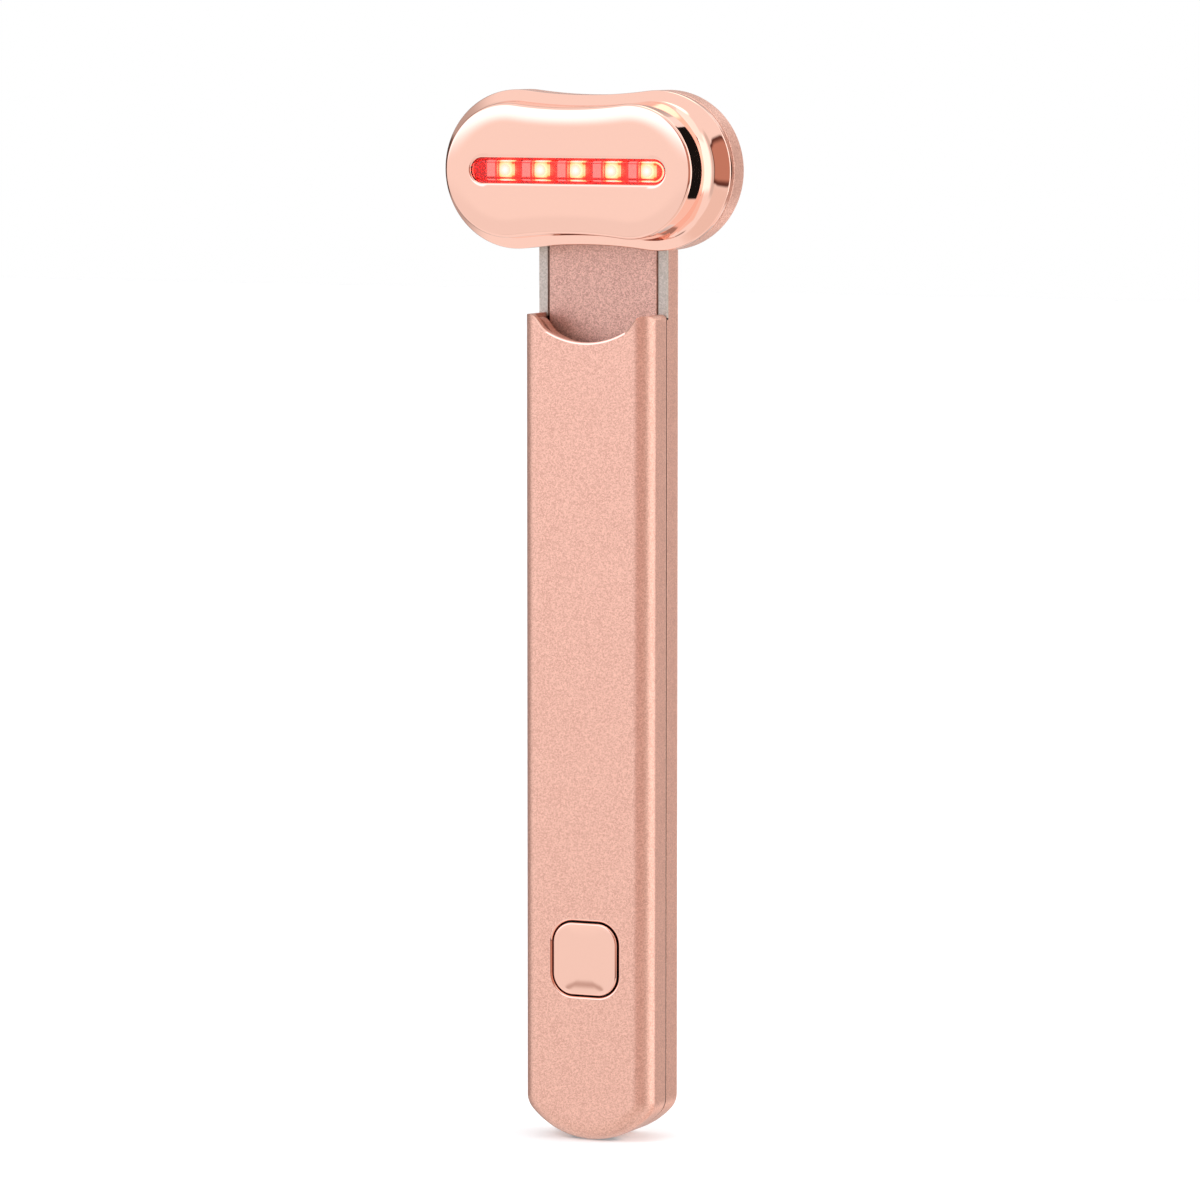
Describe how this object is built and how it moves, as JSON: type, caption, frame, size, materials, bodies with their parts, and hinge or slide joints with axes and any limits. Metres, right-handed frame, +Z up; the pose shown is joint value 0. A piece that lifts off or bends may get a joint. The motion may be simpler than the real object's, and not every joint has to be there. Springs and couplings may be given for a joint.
{
  "type": "led light therapy wand",
  "caption": "Slim handheld skin care wand with a button on its handle and a waisted head, lit by a row of LEDs, that swivels in line with the handle.",
  "frame": {"origin": "centre of the bounding box's lower face, at the tip of the handle", "axes": "+Z up the handle to the head, -Y out of the treatment face, +X along the head as it lies crosswise"},
  "size_m": [0.0534, 0.0216, 0.181],
  "materials": {
    "rose_paint": "satin metallic rose gold paint with a fine grain",
    "rose_chrome": "polished rose gold plating",
    "silver_satin": "satin silver",
    "red_lens": "clear red",
    "red_led": "lit, glowing yellow-white",
    "infrared_led": "pale pink glow",
    "circuit_green": "solder mask",
    "black_plastic": "matte",
    "white_plastic": "matte",
    "steel": "bright",
    "battery_foil": "foil pouch",
    "brass": "bare",
    "dark_rubber": "matte",
    "red_wire": "insulation"
  },
  "bodies": {
    "handle": {"front_shell": "rose_paint", "back_shell": "rose_paint", "scoop_liner": "rose_paint", "neck_frame": "silver_satin", "neck_panel": "rose_paint", "frame_screw_1": "steel", "frame_screw_2": "steel", "frame_screw_3": "steel", "frame_screw_4": "steel", "main_board": "circuit_green", "board_screw_1": "steel", "board_screw_2": "steel", "board_screw_3": "steel", "board_screw_4": "steel", "controller_chip": "black_plastic", "charger_chip": "black_plastic", "power_inductor": "dark_rubber", "board_connector": "white_plastic", "charging_port_shell": "steel", "charging_port_tongue": "black_plastic", "switch_body": "black_plastic", "battery_cell": "battery_foil", "battery_pad": "dark_rubber", "battery_lead_red": "red_wire", "battery_lead_black": "black_plastic", "head_cable": "black_plastic", "motor_can": "steel", "motor_boot": "dark_rubber", "pivot_bush": "white_plastic", "wave_washer": "steel"},
    "head": {"head_shell": "rose_chrome", "head_cover": "rose_paint", "led_window": "red_lens", "led_board": "white_plastic", "led_board_screw_1": "steel", "led_board_screw_2": "steel", "led_board_screw_3": "steel", "led_board_screw_4": "steel", "led_connector": "white_plastic", "red_led_1": "red_led", "red_led_2": "red_led", "red_led_3": "red_led", "red_led_4": "red_led", "red_led_5": "red_led", "infrared_led_1": "infrared_led", "infrared_led_2": "infrared_led", "infrared_led_3": "infrared_led", "infrared_led_4": "infrared_led", "infrared_led_5": "infrared_led", "pivot_shaft": "steel", "retaining_ring": "steel"},
    "button": {"button_cap": "rose_chrome", "switch_plunger": "black_plastic"},
    "motor_rotor": {"motor_spindle": "steel", "eccentric_weight": "brass"}
  },
  "joints": [
    {"name": "head_swivel", "type": "hinge", "parent": "handle", "child": "head", "pos_m": [0, 0, 0.1674], "axis": [0, 1, 0], "range_deg": [-90, 90]},
    {"name": "button_press", "type": "slide", "parent": "handle", "child": "button", "axis": [0, 1, 0], "range_m": [0, 0.0005], "stiffness_N_per_m": 3000},
    {"name": "rotor_spin", "type": "hinge", "parent": "handle", "child": "motor_rotor", "pos_m": [0, 0.00475, 0.1214], "axis": [1, 0, 0], "continuous": true}
  ]
}
